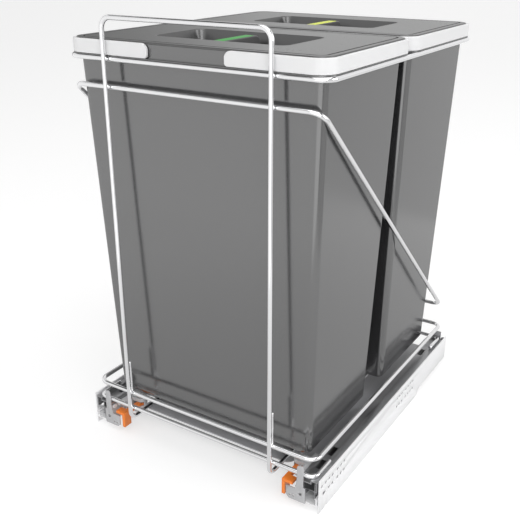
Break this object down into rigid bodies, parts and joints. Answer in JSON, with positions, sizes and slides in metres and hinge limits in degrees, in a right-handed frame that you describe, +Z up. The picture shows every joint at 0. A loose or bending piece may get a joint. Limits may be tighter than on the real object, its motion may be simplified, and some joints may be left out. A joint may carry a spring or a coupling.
{
  "type": "pull-out double waste bin unit",
  "caption": "Pull-out waste unit for a base cabinet: wire carrier on ball slides with lift-out lidded bins, swinging handles and release levers.",
  "frame": {"origin": "middle of the footprint, on the cabinet floor", "axes": "+X across the unit to the right seen from the front, -Y towards the user, +Z up"},
  "size_m": [0.368, 0.444, 0.5758],
  "materials": {
    "chrome_wire": "bright chromed drawn wire",
    "zinc_steel": "bright zinc-plated rolled sheet",
    "ball_steel": "polished balls in a thin cage",
    "spring_steel": "bare spring wire and screws",
    "pale_sheet": "pale grey powder coat",
    "bin_plastic": "fine-textured dark grey polypropylene",
    "lid_plastic": "fine-textured dark grey polypropylene",
    "white_plastic": "smooth satin white",
    "pale_plastic": "satin pale grey",
    "grey_plastic": "satin grey",
    "orange_plastic": "satin orange",
    "green_tag": "bright green",
    "lime_tag": "lime yellow"
  },
  "bodies": {
    "cabinet": {"cabinet_rail_left": "zinc_steel", "damper_housing_left": "grey_plastic", "damper_spring_left": "spring_steel", "rear_stop_left": "grey_plastic", "cabinet_rail_right": "zinc_steel", "damper_housing_right": "grey_plastic", "damper_spring_right": "spring_steel", "rear_stop_right": "grey_plastic"},
    "tray": {"drawer_rail_left": "zinc_steel", "rail_rivets_left": "zinc_steel", "front_bracket_left": "zinc_steel", "lock_body_left": "pale_plastic", "lock_screws_left": "spring_steel", "lever_pin_left": "spring_steel", "drawer_rail_right": "zinc_steel", "rail_rivets_right": "zinc_steel", "front_bracket_right": "zinc_steel", "lock_body_right": "pale_plastic", "lock_screws_right": "spring_steel", "lever_pin_right": "spring_steel", "main_hoop": "chrome_wire", "leg_doublers": "chrome_wire", "bin_support_ring": "chrome_wire", "brace_loop": "chrome_wire", "tray_upper_ring": "chrome_wire", "tray_front_wire": "chrome_wire", "tray_rear_wire": "chrome_wire", "base_plate": "pale_sheet"},
    "intermediate_left": {"intermediate_rail_left": "zinc_steel"},
    "cage_lower_left": {"ball_cage_lower_left": "ball_steel"},
    "cage_upper_left": {"ball_cage_upper_left": "ball_steel"},
    "damper_left": {"damper_rod_left": "grey_plastic"},
    "lever_left": {"release_lever_left": "orange_plastic", "lever_spring_left": "spring_steel"},
    "intermediate_right": {"intermediate_rail_right": "zinc_steel"},
    "cage_lower_right": {"ball_cage_lower_right": "ball_steel"},
    "cage_upper_right": {"ball_cage_upper_right": "ball_steel"},
    "damper_right": {"damper_rod_right": "grey_plastic"},
    "lever_right": {"release_lever_right": "orange_plastic", "lever_spring_right": "spring_steel"},
    "bin_front": {"bin_front": "bin_plastic", "handle_pins_front": "grey_plastic"},
    "lid_front": {"bin_lid_front": "lid_plastic", "colour_tag_front": "green_tag"},
    "handle_left_front": {"bin_handle_left_front": "white_plastic"},
    "handle_right_front": {"bin_handle_right_front": "white_plastic"},
    "bin_rear": {"bin_rear": "bin_plastic", "handle_pins_rear": "grey_plastic"},
    "lid_rear": {"bin_lid_rear": "lid_plastic", "colour_tag_rear": "lime_tag"},
    "handle_left_rear": {"bin_handle_left_rear": "white_plastic"},
    "handle_right_rear": {"bin_handle_right_rear": "white_plastic"}
  },
  "joints": [
    {"name": "tray_pull", "type": "slide", "parent": "cabinet", "child": "tray", "axis": [0, -1, 0], "range_m": [0, 0.42]},
    {"name": "intermediate_left_slide", "type": "slide", "parent": "cabinet", "child": "intermediate_left", "axis": [0, -1, 0], "range_m": [0, 0.21]},
    {"name": "cage_lower_left_slide", "type": "slide", "parent": "cabinet", "child": "cage_lower_left", "axis": [0, -1, 0], "range_m": [0, 0.105]},
    {"name": "cage_upper_left_slide", "type": "slide", "parent": "cabinet", "child": "cage_upper_left", "axis": [0, -1, 0], "range_m": [0, 0.315]},
    {"name": "damper_left_slide", "type": "slide", "parent": "cabinet", "child": "damper_left", "axis": [0, -1, 0], "range_m": [0, 0.035]},
    {"name": "intermediate_right_slide", "type": "slide", "parent": "cabinet", "child": "intermediate_right", "axis": [0, -1, 0], "range_m": [0, 0.21]},
    {"name": "cage_lower_right_slide", "type": "slide", "parent": "cabinet", "child": "cage_lower_right", "axis": [0, -1, 0], "range_m": [0, 0.105]},
    {"name": "cage_upper_right_slide", "type": "slide", "parent": "cabinet", "child": "cage_upper_right", "axis": [0, -1, 0], "range_m": [0, 0.315]},
    {"name": "damper_right_slide", "type": "slide", "parent": "cabinet", "child": "damper_right", "axis": [0, -1, 0], "range_m": [0, 0.035]},
    {"name": "lever_left_press", "type": "hinge", "parent": "tray", "child": "lever_left", "pos_m": [-0.1335, -0.174, 0.028], "axis": [0, 0, -1], "range_deg": [0, 6], "stiffness_Nm_per_rad": 0.06},
    {"name": "lever_right_press", "type": "hinge", "parent": "tray", "child": "lever_right", "pos_m": [0.1335, -0.174, 0.028], "axis": [0, 0, 1], "range_deg": [0, 6], "stiffness_Nm_per_rad": 0.06},
    {"name": "bin_front_lift", "type": "slide", "parent": "tray", "child": "bin_front", "axis": [0, 0, 1], "range_m": [0, 0.48]},
    {"name": "lid_front_lift", "type": "slide", "parent": "bin_front", "child": "lid_front", "axis": [0, 0, 1], "range_m": [0, 0.06]},
    {"name": "handle_left_front_swing", "type": "hinge", "parent": "bin_front", "child": "handle_left_front", "pos_m": [-0.058, -0.10812, 0.5383], "axis": [0, 1, 0], "range_deg": [0, 90]},
    {"name": "handle_right_front_swing", "type": "hinge", "parent": "bin_front", "child": "handle_right_front", "pos_m": [0.058, -0.10812, 0.5383], "axis": [0, -1, 0], "range_deg": [0, 90]},
    {"name": "bin_rear_lift", "type": "slide", "parent": "tray", "child": "bin_rear", "axis": [0, 0, 1], "range_m": [0, 0.48]},
    {"name": "lid_rear_lift", "type": "slide", "parent": "bin_rear", "child": "lid_rear", "axis": [0, 0, 1], "range_m": [0, 0.06]},
    {"name": "handle_left_rear_swing", "type": "hinge", "parent": "bin_rear", "child": "handle_left_rear", "pos_m": [-0.058, 0.10812, 0.5383], "axis": [0, 1, 0], "range_deg": [0, 90]},
    {"name": "handle_right_rear_swing", "type": "hinge", "parent": "bin_rear", "child": "handle_right_rear", "pos_m": [0.058, 0.10812, 0.5383], "axis": [0, -1, 0], "range_deg": [0, 90]}
  ],
  "couplings": [
    {"joint": "intermediate_left_slide", "follows": "tray_pull", "ratio": 0.5},
    {"joint": "cage_lower_left_slide", "follows": "tray_pull", "ratio": 0.25},
    {"joint": "cage_upper_left_slide", "follows": "tray_pull", "ratio": 0.75},
    {"joint": "damper_left_slide", "follows": "tray_pull", "ratio": 0.0833},
    {"joint": "intermediate_right_slide", "follows": "tray_pull", "ratio": 0.5},
    {"joint": "cage_lower_right_slide", "follows": "tray_pull", "ratio": 0.25},
    {"joint": "cage_upper_right_slide", "follows": "tray_pull", "ratio": 0.75},
    {"joint": "damper_right_slide", "follows": "tray_pull", "ratio": 0.0833}
  ]
}
